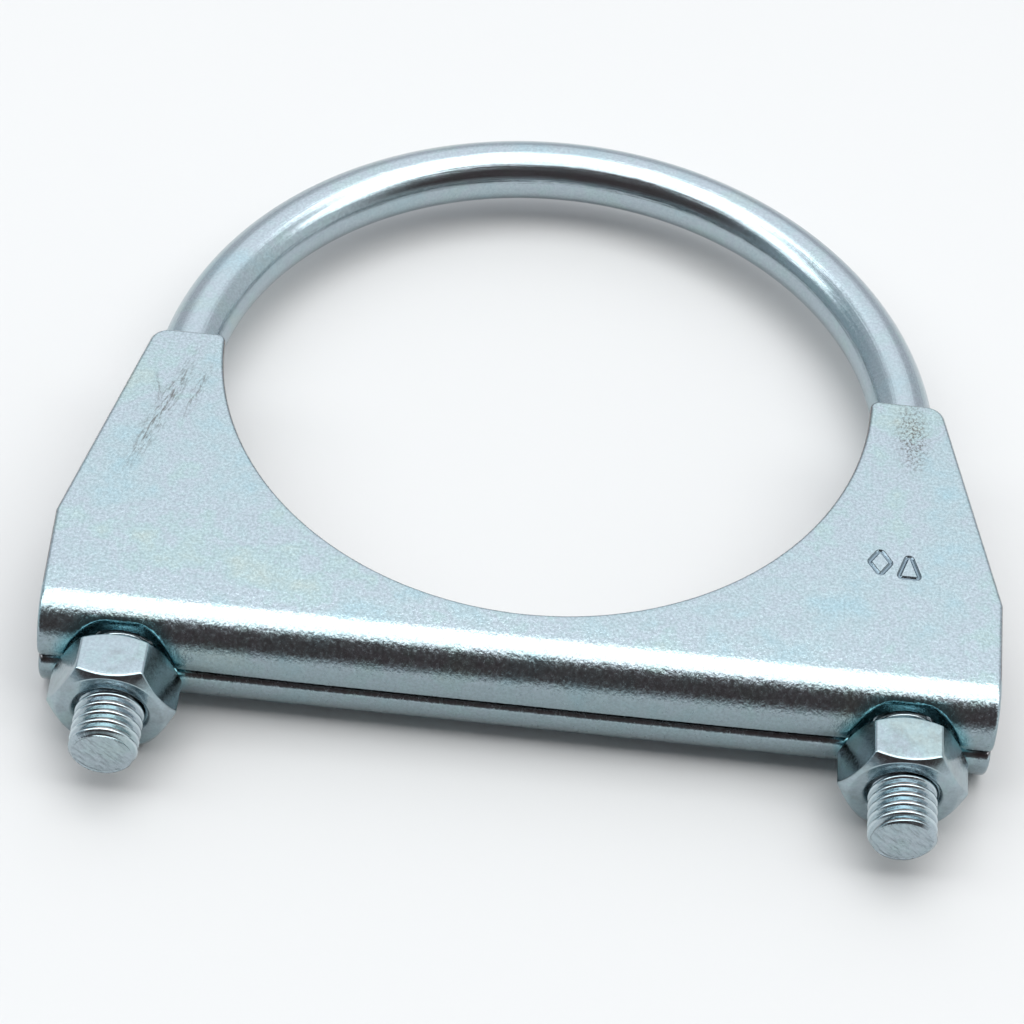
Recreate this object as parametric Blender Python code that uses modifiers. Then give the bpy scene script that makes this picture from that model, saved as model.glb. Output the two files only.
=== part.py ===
"""Exhaust clamp: a threaded U-bolt, a pressed channel saddle and two hexagon nuts.

Metres, +Z up. The clamp lies flat: +Z runs along the axis of the clamped pipe, the closed end of the
U-bolt points to +Y and its two threaded legs point to -Y. The origin is below the middle of the
bounding box, in the plane of the saddle's lower plate. Every piece is modelled about the centre of
the ring, and one empty carries that centre to its place.
"""

import math

import bmesh
import bpy
from mathutils import Matrix

MM = 0.001
GAP = 0.3 * MM

# U-bolt
ROD_R = 3.75 * MM
RING_INNER_R = 41.0 * MM
RING_R = RING_INNER_R + ROD_R
THREAD_R = 3.95 * MM
THREAD_LENGTH = 36.0 * MM
END_CHAMFER = 0.5 * MM
LEG_REACH = {"left": 58.0 * MM, "right": 58.7 * MM}
LEG_SPRING = {"left": -0.7 * MM, "right": -0.1 * MM}
LEG_X = {"left": LEG_SPRING["left"] - RING_R, "right": LEG_SPRING["right"] + RING_R}
LEG_STRAIGHT_Y = -20.0 * MM

# Saddle sheet and its section
SHEET = 1.8 * MM
HALF_HEIGHT = 7.0 * MM
WEB_FRONT_Y = -45.5 * MM
BEND_R = 5.1 * MM
LOBE_R = 1.6 * MM
GROOVE_HALF_WIDTH = HALF_HEIGHT - BEND_R - LOBE_R
GROOVE_ROOT_Y = WEB_FRONT_Y + 1.9 * MM

# Saddle outline, seen along the pipe
WEB_HALF_WIDTH = 54.8 * MM
SHOULDER_HALF_WIDTH = 55.3 * MM
SHOULDER_Y = -28.4 * MM
EAR_TOP_Y = 2.2 * MM
EAR_OUTER_X = 48.2 * MM
EAR_OUTER_CORNER_R = 2.4 * MM
EAR_INNER_CORNER_R = 1.0 * MM
SHOULDER_CORNER_R = 1.2 * MM
CRADLE_R = 39.6 * MM
CRADLE_CENTRE_Y = 2.7 * MM
CRADLE_STEPS = 72

# Round seats pressed into the web, with the leg holes
SEAT_MOUTH_R = 6.5 * MM
SEAT_FLOOR_R = 6.1 * MM
SEAT_FLOOR_Y = -43.5 * MM
SEAT_BACK_R = 7.6 * MM
LEG_HOLE_R = 4.5 * MM

# Nuts
NUT_ACROSS_FLATS = 13.0 * MM
NUT_HEIGHT = 6.5 * MM
NUT_CHAMFER_R = 6.2 * MM
NUT_CHAMFER_ANGLE = math.radians(38)
NUT_BORE_R = THREAD_R + GAP
NUT_COUNTERSINK_R = 4.55 * MM
NUT_FRONT_Y = {"left": -52.05 * MM, "right": -52.25 * MM}
NUT_TURN = {"left": math.radians(1.0), "right": math.radians(1.5)}

# Place of the ring's centre, so that the box's middle is at X 0 and Y 0 and its bottom at Z 0
RING_CENTRE_Y = (max(LEG_REACH.values()) - RING_R - ROD_R) / 2
RING_CENTRE_Z = HALF_HEIGHT

ROUND_SEGMENTS = 48
OVERRUN = 2 * MM
FACING_FRONT = (math.pi / 2, 0, 0)
SECTION_ALONG_X = (math.pi / 2, 0, math.pi / 2)


def clear_scene():
    for item in list(bpy.data.objects):
        bpy.data.objects.remove(item, do_unlink=True)


def new_collection(name):
    collection = bpy.data.collections.new(name)
    bpy.context.scene.collection.children.link(collection)
    return collection


def new_object(name, data, collection, location=(0, 0, 0), rotation=(0, 0, 0)):
    item = bpy.data.objects.new(name, data)
    item.location = location
    item.rotation_euler = rotation
    item.parent = ring_centre
    collection.objects.link(item)
    return item


def hide(item):
    item.hide_render = True
    item.display_type = "WIRE"


def new_cutter(name, data, location=(0, 0, 0), rotation=(0, 0, 0)):
    item = new_object(name, data, cutters, location, rotation)
    hide(item)
    return item


def material(name, colour, roughness):
    item = bpy.data.materials.new(name)
    item.use_nodes = True
    shader = item.node_tree.nodes["Principled BSDF"]
    shader.inputs["Base Color"].default_value = (*colour, 1)
    shader.inputs["Roughness"].default_value = roughness
    shader.inputs["Metallic"].default_value = 1
    return item


def boolean(item, operation, cutter):
    modifier = item.modifiers.new(f"{operation.lower()} {cutter.name}", "BOOLEAN")
    modifier.operation = operation
    modifier.solver = "EXACT"
    modifier.object = cutter


def arc(centre, radius, start, end, steps):
    """Points on an arc, with the angles in degrees."""
    angles = [math.radians(start + (end - start) * i / steps) for i in range(steps + 1)]
    return [(centre[0] + radius * math.cos(a), centre[1] + radius * math.sin(a)) for a in angles]


def mirrored(points, axis):
    """The points in reverse order, mirrored across the line where coordinate axis is 0."""
    sign = (-1, 1) if axis == 0 else (1, -1)
    return [(x * sign[0], y * sign[1]) for x, y in reversed(points)]


def rounded_corner(before, corner, after, radius, steps=6):
    """The arc of the given radius that is tangent to both sides of a corner."""

    def toward(point):
        dx, dy = point[0] - corner[0], point[1] - corner[1]
        length = math.hypot(dx, dy)
        return dx / length, dy / length

    a, b = toward(before), toward(after)
    half_angle = math.acos(a[0] * b[0] + a[1] * b[1]) / 2
    middle = (a[0] + b[0], a[1] + b[1])
    reach = radius / math.sin(half_angle) / math.hypot(*middle)
    centre = (corner[0] + middle[0] * reach, corner[1] + middle[1] * reach)
    tangent = radius / math.tan(half_angle)
    first = math.atan2(corner[1] + a[1] * tangent - centre[1], corner[0] + a[0] * tangent - centre[0])
    last = math.atan2(corner[1] + b[1] * tangent - centre[1], corner[0] + b[0] * tangent - centre[0])
    sweep = math.remainder(last - first, math.tau)
    return arc(centre, radius, math.degrees(first), math.degrees(first + sweep), steps)


def mesh_of(curve_object):
    """Replace a curve object by a welded mesh object in the same place."""
    bpy.context.view_layer.update()
    graph = bpy.context.evaluated_depsgraph_get()
    mesh = bpy.data.meshes.new_from_object(curve_object.evaluated_get(graph))
    shape = bmesh.new()
    shape.from_mesh(mesh)
    bmesh.ops.remove_doubles(shape, verts=shape.verts, dist=0.001 * MM)
    bmesh.ops.recalc_face_normals(shape, faces=shape.faces)
    shape.to_mesh(mesh)
    shape.free()
    name = curve_object.name
    collection = curve_object.users_collection[0]
    location, rotation = tuple(curve_object.location), tuple(curve_object.rotation_euler)
    bpy.data.objects.remove(curve_object, do_unlink=True)
    return new_object(name, mesh, collection, location, rotation)


def extruded(name, outline, half_depth, collection, location=(0, 0, 0), rotation=(0, 0, 0)):
    """A flat closed outline made thick both ways along its own Z."""
    curve = bpy.data.curves.new(name, "CURVE")
    curve.dimensions = "2D"
    curve.fill_mode = "BOTH"
    curve.extrude = half_depth
    spline = curve.splines.new("POLY")
    spline.points.add(len(outline) - 1)
    for point, (x, y) in zip(spline.points, outline):
        point.co = (x, y, 0, 1)
    spline.use_cyclic_u = True
    return mesh_of(new_object(name, curve, collection, location, rotation))


def cone_mesh(name, radius_behind, radius_ahead, depth, segments=ROUND_SEGMENTS, turn=0.0):
    """A closed cone or cylinder about its own Z, from -depth / 2 to depth / 2."""
    shape = bmesh.new()
    bmesh.ops.create_cone(
        shape,
        cap_ends=True,
        segments=segments,
        radius1=radius_behind,
        radius2=radius_ahead,
        depth=depth,
    )
    bmesh.ops.rotate(shape, verts=shape.verts, matrix=Matrix.Rotation(turn, 3, "Z"))
    mesh = bpy.data.meshes.new(name)
    shape.to_mesh(mesh)
    shape.free()
    return mesh


def turned(name, profile, location):
    """A cutter turned about the leg's axis. The profile is (radius, distance ahead), front to back."""
    mesh = bpy.data.meshes.new(name)
    edges = [(i, i + 1) for i in range(len(profile) - 1)]
    mesh.from_pydata([(r, 0, z) for r, z in profile], edges, [])
    item = new_cutter(name, mesh, location, FACING_FRONT)
    screw = item.modifiers.new("turn", "SCREW")
    screw.axis = "Z"
    screw.steps = ROUND_SEGMENTS
    screw.render_steps = ROUND_SEGMENTS
    screw.use_merge_vertices = True
    screw.merge_threshold = 0.01 * MM
    return item


def shade_round(item, sharp_angle=30):
    item.data.shade_smooth()
    item.data.set_sharp_from_angle(angle=math.radians(sharp_angle))


# ---------------------------------------------------------------------------------------------------
# U-bolt: half a ring and two straight legs, with a rolled thread on the end of each leg
# ---------------------------------------------------------------------------------------------------


def rod_route():
    """Centre line of the plain rod, from inside one threaded end to inside the other."""
    half_ring = arc((0, 0), RING_R, 180, 0, 56)
    left, right = (
        [(LEG_X[side], LEG_STRAIGHT_Y), (LEG_X[side], -LEG_REACH[side] + THREAD_LENGTH / 2)]
        for side in ("left", "right")
    )
    return [*reversed(left), *half_ring, *right]


def make_u_bolt():
    curve = bpy.data.curves.new("u_bolt", "CURVE")
    curve.dimensions = "3D"
    curve.bevel_depth = ROD_R
    curve.bevel_resolution = 10
    curve.use_fill_caps = True
    spline = curve.splines.new("POLY")
    route = rod_route()
    spline.points.add(len(route) - 1)
    for point, (x, y) in zip(spline.points, route):
        point.co = (x, y, 0, 1)
    bolt = mesh_of(new_object("u_bolt", curve, parts))
    for side in ("left", "right"):
        end_y = -LEG_REACH[side]
        profile = [
            (0, THREAD_LENGTH),
            (THREAD_R - END_CHAMFER, THREAD_LENGTH),
            (THREAD_R, THREAD_LENGTH - END_CHAMFER),
            (THREAD_R, THREAD_R - ROD_R),
            (ROD_R - (THREAD_R - ROD_R), -(THREAD_R - ROD_R)),
            (0, -(THREAD_R - ROD_R)),
        ]
        thread = turned(f"thread_{side}", profile, (LEG_X[side], end_y + THREAD_LENGTH, 0))
        boolean(bolt, "UNION", thread)
    bolt.data.materials.append(material("bright zinc rod", (0.60, 0.67, 0.71), 0.26))
    shade_round(bolt)
    return bolt


# ---------------------------------------------------------------------------------------------------
# Saddle: one sheet bent to a channel; its web is folded inward along the middle into two lobes
# ---------------------------------------------------------------------------------------------------


def meeting_angles(centre_a, radius_a, centre_b, radius_b):
    """Where two circles cross on the side nearer the web's front: the angle there on each, in degrees."""
    dx, dz = centre_b[0] - centre_a[0], centre_b[1] - centre_a[1]
    apart = math.hypot(dx, dz)
    along = (radius_a**2 - radius_b**2 + apart**2) / (2 * apart)
    across = math.sqrt(radius_a**2 - along**2)
    y = centre_a[0] + (along * dx - across * dz) / apart
    z = centre_a[1] + (along * dz + across * dx) / apart
    on_a = math.degrees(math.atan2(z - centre_a[1], y - centre_a[0]))
    on_b = math.degrees(math.atan2(z - centre_b[1], y - centre_b[0]))
    return on_a, on_b


def saddle_section():
    """Outline of the bent sheet as (y, z), with the plates left long at the ear end."""
    bend_centre = (WEB_FRONT_Y + BEND_R, HALF_HEIGHT - BEND_R)
    lobe_centre = (WEB_FRONT_Y + LOBE_R, HALF_HEIGHT - BEND_R)
    groove_centre = (GROOVE_ROOT_Y, 0)
    inner_bend_r = BEND_R - SHEET
    ridge_r = GROOVE_HALF_WIDTH + SHEET
    on_ridge, on_bend = meeting_angles(groove_centre, ridge_r, bend_centre, inner_bend_r)
    plate_end_y = EAR_TOP_Y + OVERRUN

    outer = [(plate_end_y, HALF_HEIGHT)]
    outer += arc(bend_centre, BEND_R, 90, 180, 10)
    outer += arc(lobe_centre, LOBE_R, 180, 270, 5)[1:]
    outer += arc(groove_centre, GROOVE_HALF_WIDTH, 90, 0, 3)
    inner = [(plate_end_y, HALF_HEIGHT - SHEET)]
    inner += arc(bend_centre, inner_bend_r, 90, on_bend, 8)
    inner += arc(groove_centre, ridge_r, on_ridge, 0, 6)[1:]
    lower_inner = [(y, -z) for y, z in inner]
    upper_inner = list(reversed(inner))
    return outer + mirrored(outer, 1)[1:] + lower_inner + upper_inner[1:]


def mid_sheet_section():
    """Outline as (y, z) of all that lies behind the middle of the web's sheet, for the backs of the seats."""
    bend_centre = (WEB_FRONT_Y + BEND_R, HALF_HEIGHT - BEND_R)
    upper = arc(bend_centre, BEND_R - SHEET / 2, 90, 180, 10)
    return upper + mirrored(upper, 1)


def saddle_outline():
    """Outline of the plates, seen along the pipe: ears, shoulders and the round cradle between them."""
    web_corner = (-WEB_HALF_WIDTH, WEB_FRONT_Y - OVERRUN)
    shoulder = (-SHOULDER_HALF_WIDTH, SHOULDER_Y)
    ear_outer = (-EAR_OUTER_X, EAR_TOP_Y)
    start = 180 - math.degrees(math.asin((EAR_TOP_Y - CRADLE_CENTRE_Y) / CRADLE_R))
    cradle = arc((0, CRADLE_CENTRE_Y), CRADLE_R, start, 540 - start, CRADLE_STEPS)
    half = [web_corner]
    half += rounded_corner(web_corner, shoulder, ear_outer, SHOULDER_CORNER_R, 3)
    half += rounded_corner(shoulder, ear_outer, cradle[0], EAR_OUTER_CORNER_R)
    half += rounded_corner(ear_outer, cradle[0], cradle[1], EAR_INNER_CORNER_R)
    return half + cradle[1:-1] + mirrored(half, 0)


def make_saddle():
    saddle = extruded(
        "saddle", saddle_section(), SHOULDER_HALF_WIDTH + OVERRUN, parts, rotation=SECTION_ALONG_X
    )
    mid_sheet = extruded(
        "mid_sheet", mid_sheet_section(), SHOULDER_HALF_WIDTH, cutters, rotation=SECTION_ALONG_X
    )
    hide(mid_sheet)
    boss_back_y = SEAT_FLOOR_Y + SHEET
    boss_depth = boss_back_y - WEB_FRONT_Y
    for side, x in LEG_X.items():
        mesh = cone_mesh(f"seat_boss_{side}", SEAT_BACK_R, SEAT_BACK_R, boss_depth)
        centre = (x, boss_back_y - boss_depth / 2, 0)
        boss = new_cutter(f"seat_boss_{side}", mesh, centre, FACING_FRONT)
        boolean(boss, "INTERSECT", mid_sheet)
        boolean(saddle, "UNION", boss)

    outline = extruded("plate_outline", saddle_outline(), HALF_HEIGHT + OVERRUN, cutters)
    hide(outline)
    boolean(saddle, "INTERSECT", outline)

    for side, x in LEG_X.items():
        seat_depth = SEAT_FLOOR_Y - WEB_FRONT_Y + OVERRUN
        slope = (SEAT_MOUTH_R - SEAT_FLOOR_R) / (SEAT_FLOOR_Y - WEB_FRONT_Y)
        front_r = SEAT_FLOOR_R + slope * seat_depth
        mesh = cone_mesh(f"seat_{side}", SEAT_FLOOR_R, front_r, seat_depth)
        seat = new_cutter(f"seat_{side}", mesh, (x, SEAT_FLOOR_Y - seat_depth / 2, 0), FACING_FRONT)
        boolean(saddle, "DIFFERENCE", seat)
        mesh = cone_mesh(f"leg_hole_{side}", LEG_HOLE_R, LEG_HOLE_R, 10 * MM)
        hole = new_cutter(f"leg_hole_{side}", mesh, (x, SEAT_FLOOR_Y, 0), FACING_FRONT)
        boolean(saddle, "DIFFERENCE", hole)
    saddle.data.materials.append(material("bright zinc sheet", (0.62, 0.70, 0.74), 0.36))
    shade_round(saddle)
    return saddle


# ---------------------------------------------------------------------------------------------------
# Nuts: hexagons chamfered on both faces, with a countersunk bore
# ---------------------------------------------------------------------------------------------------


def nut_envelope_profile():
    """The chamfered disc that the hexagon is cut from."""
    corner_r = NUT_ACROSS_FLATS / math.sqrt(3) + OVERRUN
    drop = (corner_r - NUT_CHAMFER_R) * math.tan(NUT_CHAMFER_ANGLE)
    top = NUT_HEIGHT / 2
    upper = [(0, top), (NUT_CHAMFER_R, top), (corner_r, top - drop)]
    return upper + mirrored(upper, 1)


def nut_bore_profile():
    """The bore with a 120 degree countersink at each face."""
    spread = math.tan(math.radians(60))
    top = NUT_HEIGHT / 2
    throat = top - (NUT_COUNTERSINK_R - NUT_BORE_R) / spread
    upper = [
        (0, top + OVERRUN),
        (NUT_COUNTERSINK_R + OVERRUN * spread, top + OVERRUN),
        (NUT_BORE_R, throat),
    ]
    return upper + mirrored(upper, 1)


def make_nut(side):
    centre = (LEG_X[side], NUT_FRONT_Y[side] + NUT_HEIGHT / 2, 0)
    corner_r = NUT_ACROSS_FLATS / math.sqrt(3)
    turn = math.radians(30) + NUT_TURN[side]
    mesh = cone_mesh(f"nut_{side}", corner_r, corner_r, NUT_HEIGHT, 6, turn)
    nut = new_object(f"nut_{side}", mesh, parts, centre, FACING_FRONT)
    boolean(nut, "INTERSECT", turned(f"nut_envelope_{side}", nut_envelope_profile(), centre))
    boolean(nut, "DIFFERENCE", turned(f"nut_bore_{side}", nut_bore_profile(), centre))
    nut.data.materials.append(material(f"bright zinc nut {side}", (0.55, 0.64, 0.68), 0.24))
    shade_round(nut)
    return nut


clear_scene()
parts = new_collection("u_bolt_clamp")
cutters = new_collection("cutters")
ring_centre = bpy.data.objects.new("ring_centre", None)
ring_centre.location = (0, RING_CENTRE_Y, RING_CENTRE_Z)
parts.objects.link(ring_centre)

make_u_bolt()
make_saddle()
for nut_side in ("left", "right"):
    make_nut(nut_side)
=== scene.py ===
"""Looks of the exhaust clamp: a threaded U-bolt, a pressed saddle and two nuts, all bright zinc plated.

Each piece is built here as one fine closed mesh in the place of its CAD node. Shapes are worked out in
millimetres about the centre of the U-bolt's ring, with +Y towards the ring's closed end and +Z up, and
are moved to the frame when their mesh is made.
"""

import math

import bmesh
import bpy
import numpy as np
from mathutils import Matrix, Vector


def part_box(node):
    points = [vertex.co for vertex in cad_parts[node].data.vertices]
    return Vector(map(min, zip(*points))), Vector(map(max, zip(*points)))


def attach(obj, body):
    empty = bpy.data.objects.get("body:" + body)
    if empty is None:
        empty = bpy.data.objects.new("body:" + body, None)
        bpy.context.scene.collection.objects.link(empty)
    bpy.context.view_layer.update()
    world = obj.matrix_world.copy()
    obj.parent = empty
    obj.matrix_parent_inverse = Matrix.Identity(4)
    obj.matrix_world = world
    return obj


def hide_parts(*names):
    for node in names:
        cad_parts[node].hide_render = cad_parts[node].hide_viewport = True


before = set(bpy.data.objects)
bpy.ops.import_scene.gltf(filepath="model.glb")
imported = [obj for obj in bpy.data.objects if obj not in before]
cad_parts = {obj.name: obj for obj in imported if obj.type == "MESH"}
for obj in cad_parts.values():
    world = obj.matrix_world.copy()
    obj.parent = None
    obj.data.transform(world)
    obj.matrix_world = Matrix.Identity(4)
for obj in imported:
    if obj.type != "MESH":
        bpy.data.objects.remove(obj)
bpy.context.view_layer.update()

MM = 0.001
SIDES = {"left": -1, "right": 1}

# U-bolt
ROD_R = 3.75
RING_R = 44.75
LEG_STRAIGHT_Y = -20.0
THREAD_R = 3.95
THREAD_LENGTH = 36.0
PITCH = 1.25
THREAD_DEPTH = 0.7
THREAD_PHASE = 0.3
THREAD_FLANK = (0.12, 1.0)
RUN_OUT = 2.2
END_CHAMFER = 0.6
END_RELIEF = 0.045
END_RIM_FALL = 0.05
END_RINGS = 20
ROD_SEGMENTS = 120
THREAD_STATIONS_PER_PITCH = 10
PLAIN_LEG_STATIONS = 18
RING_STATIONS = 145

# Nuts
NUT_ACROSS_FLATS = 13.0
NUT_CORNER_R = 0.45
NUT_CHAMFER_R = 6.15
NUT_CHAMFER_ANGLE = math.radians(38)
NUT_CHAMFER_EDGE_R = 0.1
NUT_EDGE_R = 0.22
NUT_COUNTERSINK_R = 4.55
NUT_FACE_START_R = NUT_COUNTERSINK_R + 0.12
NUT_COUNTERSINK_SLOPE = math.tan(math.radians(60))
NUT_THREAD_CLEARANCE = 0.07
NUT_MINOR_R = 3.36
NUT_TURN = {"left": math.radians(1.0), "right": math.radians(1.5)}
NUT_FLAT_POINTS = 17
NUT_CORNER_POINTS = 9
NUT_FACE_ROWS = 6
NUT_EDGE_ROWS = 5
NUT_SIDE_ROWS = 8
NUT_BORE_ROWS = 76

# Saddle: sheet, section and outline
SHEET = 1.8
HALF_HEIGHT = 7.0
WEB_FRONT_Y = -45.5
BEND_R = 5.5
LOBE_R = 0.8
GROOVE_HALF_WIDTH = 0.2
GROOVE_ROOT_Y = -43.6
BEND_STEPS = 52
LOBE_STEPS = 16
GROOVE_STEPS = 5
CRADLE_STEPS = 180
CREASE_OPENING = 0.3
CREASE_OPENS_X = (22.0, 52.0)
CREASE_LIP_Z = (0.3, 1.9)
WEB_HALF_WIDTH = 54.8
SHOULDER_HALF_WIDTH = 55.295
SHOULDER_Y = -28.4
WEB_CORNER_Y = -47.5
EAR_TOP_Y = 2.2
EAR_OUTER_X = 48.2
EAR_OUTER_CORNER_R = 2.4
EAR_INNER_CORNER_R = 1.0
SHOULDER_CORNER_R = 1.2
CRADLE_R = 39.6
CRADLE_CENTRE_Y = 2.7
EDGE_R = 0.48
EDGE_SUPPORT = 0.75
PLATE_START_Y = -39.6

# Saddle: pressed seats and leg holes
SEAT_RIM_R = 6.7
SEAT_FLOOR_Y = -43.5
SEAT_RIM_FILLET = 0.5
SEAT_FLOOR_FILLET = 0.3
SEAT_WALL_INSET = 0.12
SEAT_BLEND = 0.7
BOSS_R = 7.2
BOSS_SLOPE = 4
BOSS_BLEND = 0.4
BOSS_BACK_Y = -41.7
GROOVE_FILL_Y = -44.6
GROOVE_FILL_R = (7.3, 9.0)
LEG_HOLE_R = 4.5
LEG_HOLE_LENGTH = 8
FINE_STEP = 0.16
COARSE_STEP = 3.0

# Points closer than this are welded where a skin meets itself, and edges sharper than this stay sharp
WELD_DISTANCE = 0.002
SHARP_ANGLE = math.radians(32)

# Places read from the frame
bolt_low, bolt_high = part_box("u_bolt")
RING_CENTRE = Vector((0, bolt_high.y - (RING_R + ROD_R) * MM, (bolt_low.z + bolt_high.z) / 2))


def leg_end(side):
    """How far a leg reaches, read from the CAD bolt."""
    own = [v.co.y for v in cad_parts["u_bolt"].data.vertices if v.co.x * SIDES[side] > 0]
    return (min(own) - RING_CENTRE.y) / MM


def nut_place(side):
    """The nut's axis in X, and the Y of its front and back."""
    low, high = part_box(f"nut_{side}")
    front, back = (low.y - RING_CENTRE.y) / MM, (high.y - RING_CENTRE.y) / MM
    return (low.x + high.x) / 2 / MM, front, back


LEG_X = {side: nut_place(side)[0] for side in SIDES}
LEG_END = {side: leg_end(side) for side in SIDES}


# ---------------------------------------------------------------------------------------------------
# Mesh helpers
# ---------------------------------------------------------------------------------------------------


def grid_faces(rows, columns, wrap):
    """Quads of a grid whose points are numbered row by row. With wrap, the last column meets the first."""
    i, j = np.meshgrid(np.arange(rows - 1), np.arange(columns if wrap else columns - 1), indexing="ij")
    k = (j + 1) % columns
    quads = np.stack([i * columns + j, i * columns + k, (i + 1) * columns + k, (i + 1) * columns + j], -1)
    return quads.reshape(-1, 4).tolist()


def fan_faces(centre, ring, flip):
    """Triangles from one point to a closed ring of points."""
    pairs = zip(ring, ring[1:] + ring[:1])
    return [(centre, b, a) if flip else (centre, a, b) for a, b in pairs]


def new_piece(name, points, faces, node):
    """A mesh object for points in millimetres, which stands for a CAD node and rides on its body."""
    mesh = bpy.data.meshes.new(name)
    mesh.from_pydata((np.asarray(points) * MM + np.array(RING_CENTRE)).tolist(), [], faces)
    mesh.validate()
    shape = bmesh.new()
    shape.from_mesh(mesh)
    bmesh.ops.remove_doubles(shape, verts=shape.verts, dist=WELD_DISTANCE * MM)
    bmesh.ops.recalc_face_normals(shape, faces=shape.faces)
    shape.to_mesh(mesh)
    shape.free()
    mesh.shade_smooth()
    piece = bpy.data.objects.new(name, mesh)
    bpy.context.scene.collection.objects.link(piece)
    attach(piece, node)
    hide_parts(node)
    return piece


def arc(centre, radius, start, end, steps):
    """Points on an arc, with the angles in degrees."""
    angles = np.radians(np.linspace(start, end, steps + 1))
    return [(centre[0] + radius * math.cos(a), centre[1] + radius * math.sin(a)) for a in angles]


def mirrored(points):
    """The points in reverse order, mirrored in X."""
    return [(-x, y) for x, y in reversed(points)]


def rounded_corner(before, corner, after, radius, steps):
    """The arc of the given radius that is tangent to both sides of a corner."""
    corner = Vector(corner)
    a = (Vector(before) - corner).normalized()
    b = (Vector(after) - corner).normalized()
    half_angle = a.angle(b) / 2
    centre = corner + (a + b).normalized() * radius / math.sin(half_angle)
    first = corner + a * radius / math.tan(half_angle) - centre
    last = corner + b * radius / math.tan(half_angle) - centre
    start = math.atan2(first.y, first.x)
    sweep = math.remainder(math.atan2(last.y, last.x) - start, math.tau)
    return arc(centre, radius, math.degrees(start), math.degrees(start + sweep), steps)


def smooth_step(low, high, value):
    """0 below low and 1 above high, with a soft start and end between them."""
    share = np.clip((value - low) / (high - low), 0, 1)
    return share * share * (3 - 2 * share)


def smooth_max(a, b, width):
    """The larger of two heights, with the crease between them rounded over the given width."""
    share = np.clip(0.5 + 0.5 * (a - b) / width, 0, 1)
    return b + (a - b) * share + width * share * (1 - share)


# ---------------------------------------------------------------------------------------------------
# U-bolt
# ---------------------------------------------------------------------------------------------------


def thread_fall(y, x, z):
    """Depth of a right-hand thread along Y as a share: 0 on its crest, 1 at its root."""
    turn = (y / PITCH - np.arctan2(x, z) / math.tau + THREAD_PHASE) % 1
    from_crest = np.abs(turn - 0.5) * 2
    return smooth_step(*THREAD_FLANK, from_crest)


def leg_radius(side, y, x, z):
    """Radius of a leg at the given points, where x and z are directions from its axis."""
    from_end = y - LEG_END[side]
    on_thread = 1 - smooth_step(THREAD_LENGTH - RUN_OUT, THREAD_LENGTH, from_end)
    fall = thread_fall(y, x, z)
    radius = ROD_R + (THREAD_R - ROD_R - THREAD_DEPTH * fall) * on_thread
    return np.minimum(radius, THREAD_R - END_CHAMFER + from_end)


def leg_stations(side):
    """Y along a leg from its end to the ring: fine on the thread, wider on the plain rod."""
    end = LEG_END[side]
    thread = np.arange(end, end + THREAD_LENGTH, PITCH / THREAD_STATIONS_PER_PITCH)
    plain = np.linspace(end + THREAD_LENGTH, 0, PLAIN_LEG_STATIONS)[:-1]
    return np.concatenate([thread, plain])


def leg_axis_x(side, y):
    """The legs spring away a little from the ring's width before they run straight."""
    share = smooth_step(0, -LEG_STRAIGHT_Y, -y)
    return SIDES[side] * RING_R + (LEG_X[side] - SIDES[side] * RING_R) * share


def sawn_height(x, z):
    """Low waves that the saw leaves on a leg's end."""
    return 0.02 * np.sin(4.1 * x + 6.3 * z) + 0.015 * np.sin(11 * x - 5 * z + 1)


def make_u_bolt():
    """The rod as one skin of rings, from the left leg's end round the ring to the right leg's end."""
    around = np.arange(ROD_SEGMENTS) / ROD_SEGMENTS * math.tau
    outward, upward = np.cos(around), np.sin(around)
    rings = []
    for side in SIDES:
        sign = SIDES[side]
        leg = []
        for share in np.linspace(0.04, 0.97, END_RINGS):
            radius = share * (THREAD_R - END_CHAMFER)
            x, z = sign * outward * radius, upward * radius
            y = LEG_END[side] + END_RELIEF + sawn_height(x, z) + END_RIM_FALL * smooth_step(0.8, 1, share)
            leg.append(np.stack([LEG_X[side] + x, y, z], -1))
        for y in leg_stations(side):
            radius = leg_radius(side, y, sign * outward, upward)
            x = leg_axis_x(side, y) + sign * outward * radius
            leg.append(np.stack([x, np.full_like(x, y), upward * radius], -1))
        rings.append(leg)
    half_ring = []
    for angle in np.radians(np.linspace(180, 0, RING_STATIONS)):
        reach = RING_R + outward * ROD_R
        half_ring.append(np.stack([reach * math.cos(angle), reach * math.sin(angle), upward * ROD_R], -1))
    left, right = rings
    stations = left + half_ring + right[::-1]
    points = np.concatenate(stations)
    faces = grid_faces(len(stations), ROD_SEGMENTS, True)
    for side, first in (("left", 0), ("right", (len(stations) - 1) * ROD_SEGMENTS)):
        points = np.vstack([points, [LEG_X[side], LEG_END[side] + END_RELIEF, 0]])
        ring = list(range(first, first + ROD_SEGMENTS))
        faces += fan_faces(len(points) - 1, ring, side == "left")
    bolt = new_piece("u_bolt_rod", points, faces, "u_bolt")
    add_flow(bolt)
    return bolt


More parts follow.
